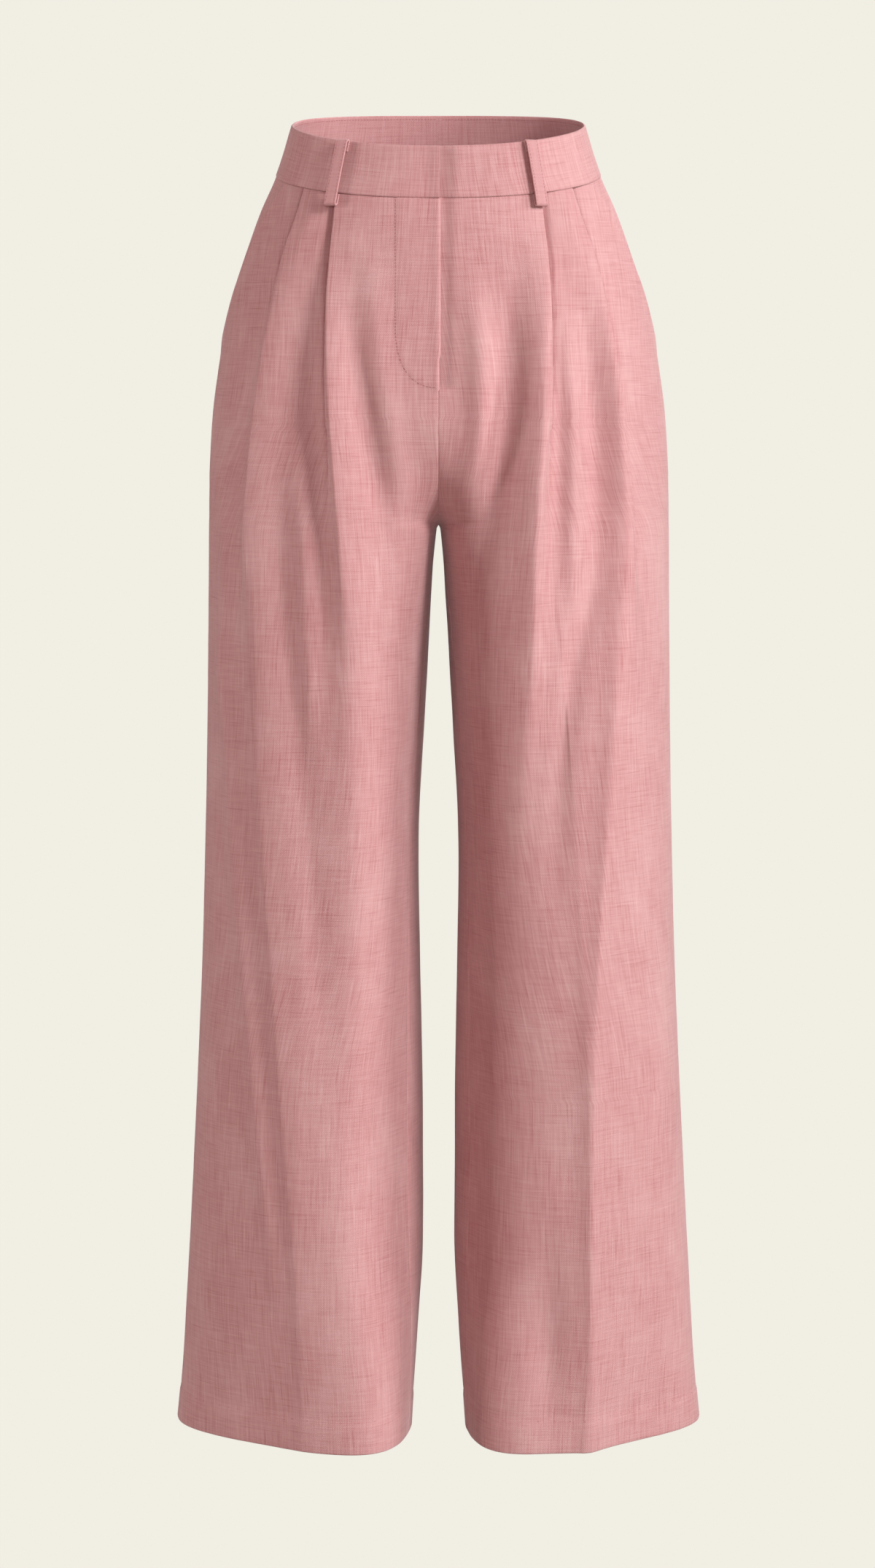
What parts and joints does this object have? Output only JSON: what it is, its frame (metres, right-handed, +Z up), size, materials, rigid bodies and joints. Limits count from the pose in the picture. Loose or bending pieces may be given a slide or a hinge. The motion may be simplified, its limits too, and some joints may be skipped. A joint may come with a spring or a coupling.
{
  "type": "pleated wide-leg trousers",
  "caption": "High-waisted pleated trousers with wide straight legs, a plain waistband with belt loops, a fly front, slanted pockets and turned-up hems inside.",
  "frame": {"origin": "middle of the waist, level with the waist seam at the sides, where a wearer's waist holds the trousers up", "axes": "+X to the wearer's left, -Y to the front, +Z up the body"},
  "size_m": [0.4502, 0.2601, 1.114],
  "materials": {
    "twill": "dusty pink slubbed linen-look twill, matte",
    "twill_inside": "the same twill's inner face, on the waistband facing and the fly underlap, matte",
    "loop_twill": "the same twill, folded and edge-stitched into narrow strips"
  },
  "bodies": {
    "root": {"front_left": "twill", "front_right": "twill", "back_left": "twill", "back_right": "twill", "pocket_side_left": "twill", "pocket_side_right": "twill", "fly_shield": "twill_inside", "waistband_left": "twill", "waistband_right": "twill", "waistband_facing_left": "twill_inside", "waistband_facing_right": "twill_inside", "belt_loop_front_left": "loop_twill", "belt_loop_front_right": "loop_twill", "belt_loop_back_left": "loop_twill", "belt_loop_back_right": "loop_twill", "belt_loop_back_centre": "loop_twill"}
  },
  "joints": []
}
